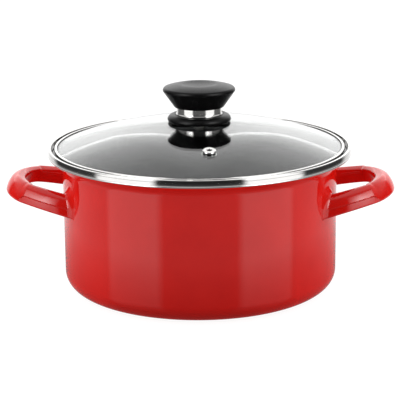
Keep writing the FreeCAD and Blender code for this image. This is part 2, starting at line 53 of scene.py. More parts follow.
EVEN_SEGMENTS = 288
KNOB_SEGMENTS = 144
SMALL_SEGMENTS = 96
# Rounding of a sheet's cut edge, as a share of the sheet: under enamel, and polished.
ENAMELLED_EDGE = 0.45
POLISHED_EDGE = 0.4


# ---------------------------------------------------------------- places from the frame


def foot_of(node):
    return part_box(node)[0].z


def top_of(node):
    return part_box(node)[1].z


def radius_of(node):
    """Outside radius of a piece that is round about the Z axis."""
    low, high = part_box(node)
    return (high.x - low.x) / 2.0


def middle_of(node):
    low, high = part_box(node)
    return (low + high) / 2.0


# ---------------------------------------------------------------- outlines


def arc_between(start, end, radius, side, steps=None):
    """Points after start and up to end on an arc; side says where its centre is on the way."""
    chord = Vector(end) - Vector(start)
    half = chord.length / 2.0
    rise = math.sqrt(max(radius * radius - half * half, 0.0))
    across = Vector((-chord.y, chord.x)).normalized() * side
    centre = Vector(start) + chord / 2.0 + across * rise
    first = Vector(start) - centre
    sweep = 2.0 * math.asin(min(half / radius, 1.0)) * side
    count = steps or max(
        math.ceil(abs(sweep) / ARC_STEP), math.ceil(abs(sweep) * radius / LONGEST_CHORD), 2)
    points = []
    for number in range(1, count + 1):
        turned = Matrix.Rotation(sweep * number / count, 2) @ first
        points.append((centre.x + turned.x, centre.y + turned.y))
    return points


def rounded_corner(before, corner, after, radius, steps=None):
    """Points of the fillet that rounds a corner between two straight runs."""
    back = (Vector(before) - Vector(corner)).normalized()
    on = (Vector(after) - Vector(corner)).normalized()
    opening = back.angle(on)
    reach = radius / math.tan(opening / 2.0)
    start = Vector(corner) + back * reach
    end = Vector(corner) + on * reach
    side = LEFT if back.x * on.y - back.y * on.x < 0.0 else RIGHT
    return [tuple(start)] + arc_between(tuple(start), tuple(end), radius, side, steps)


def outline(corners, steps=None):
    """Closed outline from corners (r, z), rounded corners (r, z, radius), or the ends of
    arcs (r, z, radius, side) that start at the corner before, with steps points on each arc."""
    points = []
    count = len(corners)
    for number, corner in enumerate(corners):
        here = tuple(corner[:2])
        before = tuple(corners[number - 1][:2])
        after = tuple(corners[(number + 1) % count][:2])
        if len(corner) == 4:
            points += arc_between(before, here, corner[2], corner[3], steps)
        elif len(corner) == 3:
            points += rounded_corner(before, here, after, corner[2], steps)
        else:
            points.append(here)
    return points


def sphere_height(apex, radius, distance):
    """Height of a dome at a distance from its axis."""
    return apex - radius + math.sqrt(radius * radius - distance * distance)


# ---------------------------------------------------------------- meshes


def finish_mesh(name, mesh_data, sharp_degrees=40.0):
    """Object from a bmesh, with outward normals and smooth shading up to an angle."""
    bmesh.ops.recalc_face_normals(mesh_data, faces=mesh_data.faces)
    mesh = bpy.data.meshes.new(name)
    mesh_data.to_mesh(mesh)
    mesh_data.free()
    mesh.shade_smooth()
    mesh.set_sharp_from_angle(angle=math.radians(sharp_degrees))
    piece = bpy.data.objects.new(name, mesh)
    bpy.context.scene.collection.objects.link(piece)
    return piece


def even_normals(piece):
    """Let large faces lead the shading, so that they look flat right up to their rounded edges."""
    weighted = piece.modifiers.new("even_normals", "WEIGHTED_NORMAL")
    weighted.keep_sharp = True


def lathe(name, points, segments=EVEN_SEGMENTS, place=None, flat_normals=True):
    """Closed outline of (r, z) points turned about the Z axis, and then moved to its place."""
    turned = bmesh.new()
    rings = []
    for radius, height in points:
        if radius < ON_AXIS:
            pole = turned.verts.new((0.0, 0.0, height))
            rings.append([pole] * segments)
            continue
        ring = []
        for number in range(segments):
            angle = 2.0 * math.pi * number / segments
            ring.append(turned.verts.new((radius * math.cos(angle), radius * math.sin(angle), height)))
        rings.append(ring)
    for number, ring in enumerate(rings):
        after = rings[(number + 1) % len(rings)]
        for spoke in range(segments):
            turn = (spoke + 1) % segments
            corners = [ring[spoke], ring[turn], after[turn], after[spoke]]
            distinct = list(dict.fromkeys(corners))
            if len(distinct) > 2:
                turned.faces.new(distinct)
    if place is not None:
        bmesh.ops.transform(turned, matrix=place, verts=turned.verts)
    piece = finish_mesh(name, turned)
    if flat_normals:
        even_normals(piece)
    return piece


def place_piece(piece, body, nodes, material):
    """Ride on a body, stand for CAD nodes and take a finish."""
    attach(piece, body)
    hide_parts(*nodes)
    piece.data.materials.append(material)


# ---------------------------------------------------------------- materials


class Material:
    """A procedural material: a Principled shader, its constants and the nodes that feed it."""

    def __init__(self, name, **constants):
        self.material = bpy.data.materials.new(name)
        self.material.use_nodes = True
        self.tree = self.material.node_tree
        self.shader = self.tree.nodes["Principled BSDF"]
        for socket, value in constants.items():
            self.shader.inputs[socket.replace("_", " ")].default_value = value
        self.place = self.node("ShaderNodeTexCoord").outputs["Object"]

    def node(self, kind, links=None, values=None, **settings):
        """A new node, with links and constant values for its sockets."""
        made = self.tree.nodes.new(kind)
        for setting, value in settings.items():
            setattr(made, setting, value)
        for socket, value in (values or {}).items():
            made.inputs[socket].default_value = value
        for socket, source in (links or {}).items():
            self.tree.links.new(source, made.inputs[socket])
        return made

    def feed(self, socket, source):
        """Link a source to a socket of the shader."""
        self.tree.links.new(source, self.shader.inputs[socket])

    def noise(self, scale, detail=3.0, place=None, roughness=0.5):
        """Noise from 0 to 1 with a feature of about 1 / scale metres."""
        links = {"Vector": place or self.place}
        values = {"Scale": scale, "Detail": detail, "Roughness": roughness}
        return self.node("ShaderNodeTexNoise", links, values).outputs["Fac"]

    def spread(self, source, low, high, start=0.0, end=1.0):
        """The source's range start to end moved onto low to high."""
        links = {"Value": source}
        values = {"From Min": start, "From Max": end, "To Min": low, "To Max": high}
        return self.node("ShaderNodeMapRange", links, values).outputs["Result"]

    def times(self, first, second):
        """Product of two sources."""
        return self.node("ShaderNodeMath", {0: first, 1: second}, operation="MULTIPLY").outputs[0]

    def paint(self, amount, first, second):
        """Base colour that runs from the first to the second with an amount."""
        ramp = self.node("ShaderNodeValToRGB", {"Fac": amount})
        ramp.color_ramp.elements[0].color = (*first, 1.0)
        ramp.color_ramp.elements[1].color = (*second, 1.0)
        self.feed("Base Color", ramp.outputs["Color"])

    def bump(self, height, distance, below=None):
        """Normal of a relief that is a distance deep, over another one."""
        links = {"Height": height}
        if below is not None:
            links["Normal"] = below
        values = {"Distance": distance, "Strength": 1.0}
        return self.node("ShaderNodeBump", links, values).outputs["Normal"]

    def distance_out(self):
        """Distance from the object's origin."""
        length = self.node("ShaderNodeVectorMath", {0: self.place}, operation="LENGTH")
        return length.outputs["Value"]

    def turned_place(self, along, around):
        """Coordinates that run round the Z axis slowly and across it fast, for turned metal."""
        split = self.node("ShaderNodeSeparateXYZ", {"Vector": self.place}).outputs
        squares = [self.times(split[0], split[0]), self.times(split[1], split[1])]
        total = self.node("ShaderNodeMath", {0: squares[0], 1: squares[1]}, operation="ADD")
        radius = self.node("ShaderNodeMath", {0: total.outputs[0]}, {1: 0.5}, operation="POWER")
        heading = self.node("ShaderNodeMath", {0: split[1], 1: split[0]}, operation="ARCTAN2")
        parts = [
            self.spread(radius.outputs[0], 0.0, along),
            self.spread(heading.outputs[0], 0.0, around),
            self.spread(split[2], 0.0, along),
        ]
        return self.node("ShaderNodeCombineXYZ", dict(enumerate(parts))).outputs[0]


def red_enamel():
    """Glossy vitreous enamel: deep red with a faint mottle, orange peel and tiny pits."""
    made = Material("red_enamel_glaze", IOR=1.5)
    mottle = made.noise(38.0, 4.0)
    patches = made.spread(mottle, 0.0, 1.0, 0.3, 0.7)
    made.paint(patches, (0.57, 0.0062, 0.0036), (0.62, 0.0086, 0.0052))
    made.feed("Roughness", made.spread(made.noise(900.0, 2.0), 0.035, 0.085))
    peel = made.bump(made.noise(170.0, 2.0), 0.010 * MM)
    made.feed("Normal", made.bump(made.noise(2600.0, 1.0), 0.0015 * MM, below=peel))
    return made.material


def black_enamel():
    """Glossy black enamel inside the pot, with the fine pale specks of the second coat."""
    made = Material("black_enamel_glaze", IOR=1.5)
    flecks = made.spread(made.noise(1500.0, 2.0), 0.0, 1.0, 0.66, 0.72)
    made.paint(flecks, (0.012, 0.012, 0.013), (0.16, 0.16, 0.165))
    made.feed("Roughness", made.spread(made.noise(500.0, 2.0), 0.07, 0.14))
    made.feed("Normal", made.bump(made.noise(260.0, 2.0), 0.02 * MM))
    return made.material


def polished_steel(name, low, high):
    """Turned and polished steel, with fine lines round the axis and a low and high roughness."""
    made = Material(name, Metallic=1.0)
    lines = made.noise(1.0, 4.0, made.turned_place(26000.0, 3.0), 0.6)
    tarnish = made.spread(made.noise(60.0, 3.0), 0.0, 1.0, 0.3, 0.7)
    colour = (0.80, 0.79, 0.775)
    made.paint(tarnish, tuple(part * 0.95 for part in colour), colour)
    made.feed("Roughness", made.spread(lines, low, high, 0.3, 0.7))
    made.feed("Normal", made.bump(lines, 0.0012 * MM))
    return made.material


def plain_steel():
    """Zinc-plated fixings, slightly dull."""
    made = Material("plated_steel", Metallic=1.0)
    cloud = made.noise(700.0, 4.0)
    made.paint(cloud, (0.42, 0.42, 0.41), (0.62, 0.62, 0.60))
    made.feed("Roughness", made.spread(cloud, 0.22, 0.38))
    made.feed("Normal", made.bump(made.noise(3200.0, 3.0), 0.006 * MM))
    return made.material


def tempered_glass():
    """Clear tempered glass, faintly green in its thickness."""
    made = Material("clear_glass", IOR=1.5, Transmission_Weight=1.0)
    made.paint(made.noise(30.0), (0.955, 0.975, 0.965), (0.965, 0.98, 0.972))
    made.feed("Roughness", made.spread(made.noise(90.0, 4.0), 0.0, 0.012, 0.45, 0.75))
    return made.material


def black_phenolic():
    """Moulded phenolic: near black, satin, with a fine moulding grain."""
    made = Material("moulded_phenolic", IOR=1.45, Specular_IOR_Level=0.20)
    cloud = made.noise(320.0, 4.0)
    made.paint(cloud, (0.0020, 0.0020, 0.0023), (0.0040, 0.0039, 0.0040))
    made.feed("Roughness", made.spread(made.noise(900.0, 3.0), 0.26, 0.36, 0.3, 0.7))
    grain = made.bump(made.noise(4200.0, 2.0), 0.003 * MM)
    made.feed("Normal", made.bump(made.noise(420.0, 2.0), 0.012 * MM, below=grain))
    return made.material


def black_silicone():
    """Matt black silicone with a dusty bloom."""
    made = Material("silicone_rubber", IOR=1.43)
    bloom = made.noise(800.0, 5.0)
    made.paint(bloom, (0.014, 0.014, 0.014), (0.034, 0.034, 0.035))
    made.feed("Roughness", made.spread(bloom, 0.48, 0.68))
    made.feed("Normal", made.bump(made.noise(5200.0, 2.0), 0.006 * MM))
    return made.material


def brass():
    """Machined brass insert."""
    made = Material("turned_brass", Metallic=1.0)
    lines = made.noise(1.0, 3.0, made.turned_place(16000.0, 4.0))
    made.paint(made.noise(400.0), (0.66, 0.46, 0.20), (0.78, 0.57, 0.27))
    made.feed("Roughness", made.spread(lines, 0.2, 0.34))
    made.feed("Normal", made.bump(lines, 0.004 * MM))
    return made.material


# ---------------------------------------------------------------- pot


POT = {
    "flange": radius_of("pot_shell"),
    "flange_top": top_of("pot_shell"),
    "sheet": 1.8 * MM,
    "base_corner": 15.0 * MM,
    "foot_inner": 84.0 * MM,
    "base_hollow": 0.8 * MM,
    "base_step": 4.0 * MM,
    "step_curve": 6.0 * MM,
    "flare": 9.0 * MM,
    "flange_turn": 2.2 * MM,
}
POT["wall"] = POT["flange"] - 11.8 * MM
POT["flare_start"] = POT["flange_top"] - 15.6 * MM
# A face that points further down than this is on the outside of the base.
FACES_DOWN = -0.2


def pot_outline():
    """Outline of the enamelled shell: underside, wall, flare, flange, then the inside."""
    wall = POT["wall"]
    sheet = POT["sheet"]
    flange = POT["flange"]
    corner = POT["base_corner"]
    ledge = POT["flare_start"] + POT["flare"]
    turn = POT["flange_turn"]
    step = POT["foot_inner"] - POT["base_step"]
    curve = POT["step_curve"]
    lip = sheet * ENAMELLED_EDGE
    return outline([
        (0.0, POT["base_hollow"]),
        (step, POT["base_hollow"], curve),
        (POT["foot_inner"], 0.0, curve),
        (wall - corner, 0.0),
        (wall, corner, corner, LEFT),
        (wall, POT["flare_start"]),
        (wall + POT["flare"], ledge, POT["flare"], RIGHT),
        (flange - turn, ledge),
        (flange, ledge + turn, turn, LEFT),
        (flange, POT["flange_top"], lip),
        (flange - sheet, POT["flange_top"], lip),
        (flange - sheet, ledge + turn),
        (flange - turn, ledge + sheet, turn - sheet, RIGHT),
        (wall + POT["flare"], ledge + sheet),
        (wall - sheet, POT["flare_start"], POT["flare"] + sheet, LEFT),
        (wall - sheet, corner),
        (wall - corner, sheet, corner - sheet, RIGHT),
        (POT["foot_inner"], sheet, curve),
        (step, POT["base_hollow"] + sheet, curve),
        (0.0, POT["base_hollow"] + sheet),
    ])


def make_pot_shell(outside, inside):
    """The shell with red enamel outside and black enamel inside."""
    piece = lathe("pot_shell_enamelled", pot_outline())
    place_piece(piece, "pot", ["pot_shell"], outside)
    piece.data.materials.append(inside)
    inner_wall = POT["wall"] - POT["sheet"] * 0.5
    ledge = POT["flare_start"] + POT["flare"] + POT["sheet"] * 0.5
    for face in piece.data.polygons:
        centre = face.center
        radius = math.hypot(centre.x, centre.y)
        faces_in = face.normal.x * centre.x + face.normal.y * centre.y < 0.0
        in_bowl = radius < inner_wall and face.normal.z > FACES_DOWN
        on_ledge = centre.z > ledge and face.normal.z > 0.0
        in_flare = centre.z > POT["flare_start"] and faces_in
        if in_bowl or on_ledge or in_flare:
            face.material_index = 1


def make_rim_band(steel):
    """Steel trim ring over the rim flange: a bowed face, and a turned-out edge at its foot."""
    outer = radius_of("rim_band")
    top = top_of("rim_band")
    foot = foot_of("rim_band")
    inner = outer - 3.0 * MM
    sheet = 0.5 * MM
    corner = 0.7 * MM
    bead = 0.75 * MM
    face_foot = outer - 0.35 * MM
    face_top = outer - 0.75 * MM
    bow = 18.0 * MM
    edge = sheet * POLISHED_EDGE
    hem = foot + 1.4 * MM
    piece = lathe("rim_band_polished", outline([
        (outer - bead, foot),
        (outer, foot + bead, bead, LEFT),
        (face_foot, foot + 2.0 * bead, bead, LEFT),
        (face_top, top - corner, bow, LEFT),
        (face_top - corner, top, corner, LEFT),
        (inner, top, corner),
        (inner, hem, edge),
        (inner + sheet, hem, edge),
        (inner + sheet, top - sheet, corner - sheet),
        (face_top - sheet, top - sheet, corner - sheet),
        (outer - 2.0 * bead, foot + sheet),
    ]))
    place_piece(piece, "pot", ["rim_band"], steel)


# ---------------------------------------------------------------- handles


# The handle's line runs in a tilted plane: an arc round the tip, a corner, and straight sides.
HANDLE = {
    "tilt": math.radians(10.6),
    "plane": 68.8 * MM,
    "reach": 156.0 * MM,
    "tip_curve": 40.0 * MM,
    "tip_sweep": math.radians(37.0),
    "corner": 8.0 * MM,
    "side": math.radians(90.0 - 20.2),
    "bar": 15.2 * MM,
    "depth": 15.0 * MM,
    "inner_depth": 12.6 * MM,
    "inner_lean": 2.2 * MM,
    "lip": 3.0 * MM,
    "crown": 1.2 * MM,
    "skin": 1.6 * MM,
    "flare": 13.0 * MM,
    "sunk": 0.15 * MM,
}
# The bar's section at the tip and along the sides: the edge of the opening, the shoulder,
# the outer face, the crease over the foot's strip, and the rolled foot.
TIP_SHAPE = {
    "edge": 1.6 * MM,
    "edge_drop": 0.2 * MM,
    "shoulder_start": 5.0 * MM,
    "shoulder_end": (11.7 * MM, -2.6 * MM),
    "shoulder": 8.5 * MM,
    "face": 24.0 * MM,
    "crease": 1.8 * MM,
    "inset": 0.15 * MM,
    "step": 0.05 * MM,
    "step_height": 0.3 * MM,
    "foot_inset": 0.85 * MM,
    "roll": 0.9 * MM,
}
SIDE_SHAPE = {
    "edge": 4.2 * MM,
    "edge_drop": 1.1 * MM,
    "shoulder_start": 6.6 * MM,
    "shoulder_end": (12.6 * MM, -1.8 * MM),
    "shoulder": 6.0 * MM,
    "face": 29.0 * MM,
    "crease": 7.4 * MM,
    "inset": 0.2 * MM,
    "step": 0.7 * MM,
    "step_height": 1.2 * MM,
    "foot_inset": 0.0,
    "roll": 1.5 * MM,
}
# The direction square to the bar's outer face where its shoulder ends, across and up.
SHOULDER_SQUARE = (0.6, 0.8)
# Round the corner the tip's section turns into the side's: by CHANGE_RATE times the share of
# the corner that is passed, less CHANGE_START.
CHANGE_RATE = 2.0
CHANGE_START = 0.9
# The outer face bows: the bar gains width past its corner, then loses it towards the root.
CORNER_GAIN = 1.1 * MM
BOW_RATE = 0.165
BOW_FALL = 4.3
# The bar's root: a line of its section leaves the bar before the wall, and flares along it.
ROOT = {
    "drop": 0.12,  # share by which the bar is deeper at the wall
    "lead": 3.0 * MM,  # where a line leaves the bar, before the wall
    "outer_lead": 4.5 * MM,  # how much sooner a line of the outer face does
    "upper_ease": 0.25,  # share by which that is less at the top
    "pull": 0.3,  # how tightly a line bends onto the wall
    "fade": 0.8,  # power by which the flare fades towards the foot
    "inner_flare": 0.25,  # share of the flare that a line of the inner side has
    "full_flare": 1.6,  # how fast that share grows across the bar
    "least_flare": 0.6 * MM,  # what every line has besides
    "core_across": 0.45,  # the place that the lines spread from, in widths of the bar
    "core_down": 0.6,  # and in depths of it
}
HANDLE_SHARP_DEGREES = 33.0
SECTION_STEPS = 7
TIP_STEPS = 14
CORNER_STEPS = 12
SIDE_STEPS = 16
FLARE_STEPS = 20


def clamped(share):
    return min(max(share, 0.0), 1.0)


def smooth(share):
    """The share with an easy start and end."""
    share = clamped(share)
    return share * share * (3.0 - 2.0 * share)


def channel_section(shape):
    """Section of a handle's bar, open underneath: out from the opening, then up and round."""
    bar = HANDLE["bar"]
    foot = -HANDLE["depth"]
    skin = HANDLE["skin"]
    crown = HANDLE["crown"]
    lean = HANDLE["inner_lean"]
    crease = foot + shape["crease"]
    face = bar - shape["inset"]
    lip_end = bar - shape["roll"] - HANDLE["lip"]
    edge = skin * ENAMELLED_EDGE
    across, below = shape["shoulder_end"]
    square_across, square_up = SHOULDER_SQUARE
    drop = shape["edge_drop"]
    return outline([
        (lean, -HANDLE["inner_depth"], edge),
        (0.0, -drop, shape["edge"]),
        (shape["shoulder_start"], crown),
        (across, below, shape["shoulder"], RIGHT),
        (face, crease, shape["face"], RIGHT),
        (face - shape["step"], crease - shape["step_height"]),
        (bar - shape["foot_inset"], foot, shape["roll"]),
        (lip_end, foot, edge),
        (lip_end, foot + skin, edge),
        (bar - skin, foot + skin),
        (face - skin, crease + skin),
        (across - skin * square_across, below - skin * square_up, shape["face"] - skin, LEFT),
        (shape["shoulder_start"], crown - skin, shape["shoulder"] - skin, LEFT),
        (skin, -skin - drop, max(shape["edge"] - skin, edge)),
        (skin + lean, -HANDLE["inner_depth"], edge),
    ], SECTION_STEPS)


def between(first, second, share):
    """The section a share of the way from the first one to the second."""
    return [
        tuple(one + (other - one) * share for one, other in zip(start, end))
        for start, end in zip(first, second)]


def tilted(x, y, up):
    """A point of the handle's own tilted plane in the frame."""
    lean = HANDLE["tilt"]
    return Vector((
        x * math.cos(lean) - up * math.sin(lean),
        y,
        x * math.sin(lean) + up * math.cos(lean)))


def heading(angle):
    return Vector((math.cos(angle), math.sin(angle)))


def distance_to_wall(start, travel, wall):
    """How far a line runs before it reaches the pot's wall."""
    across = travel.x ** 2 + travel.y ** 2
    half = start.x * travel.x + start.y * travel.y
    rest = start.x ** 2 + start.y ** 2 - wall * wall
    return (-half - math.sqrt(half * half - across * rest)) / across


def on_wall(point, wall):
    """The point moved square to the axis onto the wall."""
    kept = wall / math.hypot(point.x, point.y)
    return Vector((point.x * kept, point.y * kept, point.z))


def cubic(pulls, share):
    """Point of a cubic curve with four control points."""
    rest = 1.0 - share
    return (pulls[0] * rest ** 3 + pulls[1] * 3.0 * rest * rest * share
            + pulls[2] * 3.0 * rest * share * share + pulls[3] * share ** 3)


def root_line(start, place, heading_out, wall):
    """A line of the section along the bar, bowed outwards, that bends onto the wall."""
    across, up = place
    travel = tilted(-heading_out.y, heading_out.x, 0.0)
    length = distance_to_wall(start, travel, wall)

    def along(run):
        bow = across / HANDLE["bar"] * (BOW_RATE - BOW_FALL * run) * run
        drop = up * ROOT["drop"] * (run / length) ** 2
        return start + travel * run + tilted(*(heading_out * bow), drop)

    outer = clamped(across / HANDLE["bar"])
    upper = clamped(1.0 + up / HANDLE["depth"])
    lead = ROOT["lead"] + ROOT["outer_lead"] * outer * (1.0 - ROOT["upper_ease"] * upper)
    inner_flare = ROOT["inner_flare"]
    widening = inner_flare + (1.0 - inner_flare) * clamped(outer * ROOT["full_flare"])
    reach = HANDLE["flare"] * upper ** ROOT["fade"] * widening + ROOT["least_flare"]
    turn_off = length - lead
    line = [along(turn_off * number / SIDE_STEPS) for number in range(1, SIDE_STEPS + 1)]
    landing = on_wall(along(length), wall)
    outward = Vector((landing.x, landing.y, 0.0)).normalized()
    off_core = across - HANDLE["bar"] * ROOT["core_across"]
    over_core = up + HANDLE["depth"] * ROOT["core_down"]
    spread = tilted(*(heading_out * off_core), over_core)
    aside = (spread - outward * spread.dot(outward)).normalized()
    end = on_wall(landing + aside * reach, wall)
    first = line[-1]
    pull = (end - first).length * ROOT["pull"]
    onward = (first - line[-2]).normalized()
    pulls = (first, first + onward * pull, end - aside * pull, end)
    for number in range(1, FLARE_STEPS + 1):
        point = cubic(pulls, number / FLARE_STEPS)
        if math.hypot(point.x, point.y) < wall:
            point = on_wall(point, wall)
        line.append(point)
    return line


def half_handle(wall):
    """Rows of points from the middle of the tip to the wall, on the +Y side."""
    tip_centre = Vector((HANDLE["reach"] - HANDLE["tip_curve"], 0.0))
    corner_centre = tip_centre + heading(HANDLE["tip_sweep"]) * (HANDLE["tip_curve"] - HANDLE["corner"])
    arcs = [
        (tip_centre, HANDLE["tip_curve"], 0.0, HANDLE["tip_sweep"], TIP_STEPS, 0.0),
        (corner_centre, HANDLE["corner"], HANDLE["tip_sweep"], HANDLE["side"], CORNER_STEPS, 1.0),
    ]
    lift = Vector((0.0, 0.0, HANDLE["plane"]))
    tip = channel_section(TIP_SHAPE)
    side = channel_section(SIDE_SHAPE)
    rows = []
    for centre, radius, first, last, steps, corner in arcs:
        for number in range(1 if rows else 0, steps + 1):
            done = number / steps
            out = heading(first + (last - first) * done)
            widened = 1.0 + corner * CORNER_GAIN * done ** 2 / HANDLE["bar"]
            section = between(tip, side, smooth(corner * (CHANGE_RATE * done - CHANGE_START)))
            rows.append([
                tilted(*(centre + out * (radius + across * widened)), up) + lift
                for across, up in section])
    out = heading(HANDLE["side"])
    lines = [root_line(start, place, out, wall) for start, place in zip(rows[-1], side)]
    for number in range(SIDE_STEPS + FLARE_STEPS):
        rows.append([line[number] for line in lines])
    return rows


def make_handle(node, facing, enamel):
    """Loop handle pressed as a channel, whose roots flare out onto the pot's wall."""
    half = half_handle(POT["wall"] - HANDLE["sunk"])
    other = [[Vector((point.x, -point.y, point.z)) for point in row] for row in half[1:]]
    rows = list(reversed(other)) + half
    swept = bmesh.new()
    grid = [[swept.verts.new(point) for point in row] for row in rows]
    count = len(grid[0])
    for row, after in zip(grid, grid[1:]):
        for column in range(count):
            beside = (column + 1) % count
            swept.faces.new([row[column], row[beside], after[beside], after[column]])
    swept.faces.new(grid[0])
    swept.faces.new(list(reversed(grid[-1])))
    turn = Matrix.Rotation(0.0 if facing > 0.0 else math.pi, 4, "Z")
    bmesh.ops.transform(swept, matrix=turn, verts=swept.verts)
    piece = finish_mesh(node + "_enamelled", swept, HANDLE_SHARP_DEGREES)
    even_normals(piece)
    place_piece(piece, "pot", [node], enamel)


# ---------------------------------------------------------------- lid


LID = {
    "glass": radius_of("lid_glass"),
    "dome": 353.0 * MM,
    "apex": 146.6 * MM,
    "thick": 3.6 * MM,
    "bore": 4.0 * MM,
    "band": radius_of("lid_rim_band"),
    "band_top": top_of("lid_rim_band"),
    "band_foot": foot_of("lid_rim_band"),
    "band_sheet": 0.45 * MM,
}
LID["lip"] = LID["band"] - 2.3 * MM
LID["lower_lip"] = LID["band"] - 5.4 * MM
DOME_CENTRE = Vector((0.0, 0.0, LID["apex"] - LID["dome"]))


def glass_top(distance):
    """Height of the glass's upper face at a distance from the axis."""
    return sphere_height(LID["apex"], LID["dome"], distance)


def glass_under(distance):
    """Height of the glass's lower face at a distance from the axis."""
    return sphere_height(LID["apex"] - LID["thick"], LID["dome"] - LID["thick"], distance)


def vent_matrix():
    """Frame of the vent: its Z axis leaves the dome square, its origin is on the glass."""
    axis = (middle_of("vent_eyelet") - DOME_CENTRE).normalized()
    turn = Vector((0.0, 0.0, 1.0)).rotation_difference(axis).to_matrix().to_4x4()
    return Matrix.Translation(DOME_CENTRE + axis * LID["dome"]) @ turn


def make_lid_glass(glass):
    """Domed glass with the screw hole in its middle and a drilled hole for the vent."""
    bore = LID["bore"]
    edge = LID["glass"]
    piece = lathe("lid_glass_dome", outline([
        (bore, glass_under(bore)),
        (edge, glass_under(edge), LID["dome"] - LID["thick"], RIGHT),
        (edge, glass_top(edge)),
        (bore, glass_top(bore), LID["dome"], LEFT),
    ]), flat_normals=False)
    hole = 5.0 * MM
    below = -8.0 * MM
    above = 3.0 * MM
    drill = lathe(
        "vent_drill", [(0.0, below), (hole, below), (hole, above), (0.0, above)],
        SMALL_SEGMENTS, vent_matrix(), flat_normals=False)
    cut = piece.modifiers.new("vent_hole", "BOOLEAN")
    cut.operation = "DIFFERENCE"
    cut.solver = "EXACT"
    cut.object = drill
    drilled = bpy.data.meshes.new_from_object(piece.evaluated_get(bpy.context.evaluated_depsgraph_get()))
    piece.modifiers.clear()
    piece.data = drilled
    bpy.data.objects.remove(drill)
    place_piece(piece, "lid", ["lid_glass"], glass)


def make_lid_band(steel):
    """Steel band folded round the glass's edge."""
    outer = LID["band"]
    sheet = LID["band_sheet"]
    top = LID["band_top"]
    foot = LID["band_foot"]
    lip = LID["lip"]
    lower_lip = LID["lower_lip"]
    corner = 0.7 * MM
    edge = sheet * POLISHED_EDGE
    band = lathe("lid_rim_band_polished", outline([
        (lower_lip, foot, edge),
        (outer, foot, corner),
        (outer, top, corner),
        (lip, top, edge),
        (lip, top - sheet, edge),
        (outer - sheet, top - sheet, corner - sheet),
        (outer - sheet, foot + sheet, corner - sheet),
        (lower_lip, foot + sheet, edge),
    ]))
    place_piece(band, "lid", ["lid_rim_band"], steel)


def make_lid_seal(silicone):
    """Silicone channel between the glass's edge and the band."""
    outer = LID["band"] - LID["band_sheet"]
    top = LID["band_top"] - LID["band_sheet"]
    foot = LID["band_foot"] + LID["band_sheet"]
    lip = LID["lip"] - 0.4 * MM
    lower_lip = LID["lower_lip"] + 0.6 * MM
    edge_of_glass = LID["glass"]
    seal = lathe("lid_rim_seal_moulded", outline([
        (lower_lip, foot, 0.2 * MM),
        (outer, foot),
        (outer, top),
        (lip, top, 0.15 * MM),
        (lip, glass_top(lip)),
        (edge_of_glass, glass_top(edge_of_glass)),
        (edge_of_glass, glass_under(edge_of_glass)),
        (lower_lip, glass_under(lower_lip)),
    ]))
    place_piece(seal, "lid", ["lid_rim_seal"], silicone)


def make_vent(steel):
    """Riveted steam vent with a rounded, polished flange."""
    hole = 2.1 * MM
    flange = 5.7 * MM
    barrel = 3.4 * MM
    lift = 0.5 * MM
    rise = 1.9 * MM
    shoulder = 1.0 * MM
    mouth = 0.5 * MM
    rivet = 5.0 * MM
    rivet_foot = -(LID["thick"] + 1.8 * MM)
    rivet_top = rivet_foot + 0.7 * MM
    rivet_edge = 0.3 * MM
    piece = lathe("vent_eyelet_polished", outline([
        (hole, rivet_foot, 0.25 * MM),
        (rivet, rivet_foot, rivet_edge),
        (rivet, rivet_top, rivet_edge),
        (barrel, rivet_top),
        (barrel, lift),
        (flange, lift, 0.2 * MM),
        (flange, rise, shoulder),
        (hole, rise, mouth),
    ]), SMALL_SEGMENTS, vent_matrix())
    place_piece(piece, "lid", ["vent_eyelet"], steel)


# Radius of the screw's hole in the knob.
KNOB_BORE = 2.6 * MM


def make_knob_base(phenolic):
    """Moulded base of the knob: a skirt round the gasket, and a ridge round the collar."""
    seat = top_of("knob_gasket")
    top = foot_of("knob_collar")
    widest = radius_of("knob_base")
    skirt_inner = widest - 2.0 * MM
    skirt_outer = widest - 1.1 * MM
    skirt_foot = seat - 1.1 * MM
    widest_height = seat + 1.0 * MM
    shoulder = (widest - 4.3 * MM, top + 0.9 * MM)
    ridge_inner = widest - 7.3 * MM
    base = lathe("knob_base_moulded", outline([
        (KNOB_BORE, seat),
        (skirt_inner, seat, 0.3 * MM),
        (skirt_inner, skirt_foot, 0.2 * MM),
        (skirt_outer, skirt_foot),
        (widest, widest_height, 2.8 * MM, LEFT),
        (*shoulder, 5.0 * MM, LEFT),
        (ridge_inner, top, 2.6 * MM, LEFT),
        (KNOB_BORE, top),
    ]), KNOB_SEGMENTS)
    place_piece(base, "lid", ["knob_base"], phenolic)


def make_knob_collar(steel):
    """Steel collar of the knob, with a bead at its foot."""
    floor = foot_of("knob_collar")
    neck = top_of("knob_collar")
    tube = radius_of("knob_collar") - 1.3 * MM
    bead = 0.8 * MM
    sheet = 0.9 * MM
    edge = 0.2 * MM
    bead_mid = floor + 1.3 * MM
    bead_top = floor + 2.6 * MM
    collar = lathe("knob_collar_polished", outline([
        (tube - sheet, floor, edge),
        (tube, floor, edge),
        (tube + bead, bead_mid, 0.35 * MM),
        (tube, bead_top, 1.6 * MM),
        (tube, neck, edge),
        (tube - sheet, neck, edge),
    ]), KNOB_SEGMENTS)
    place_piece(collar, "lid", ["knob_collar"], steel)


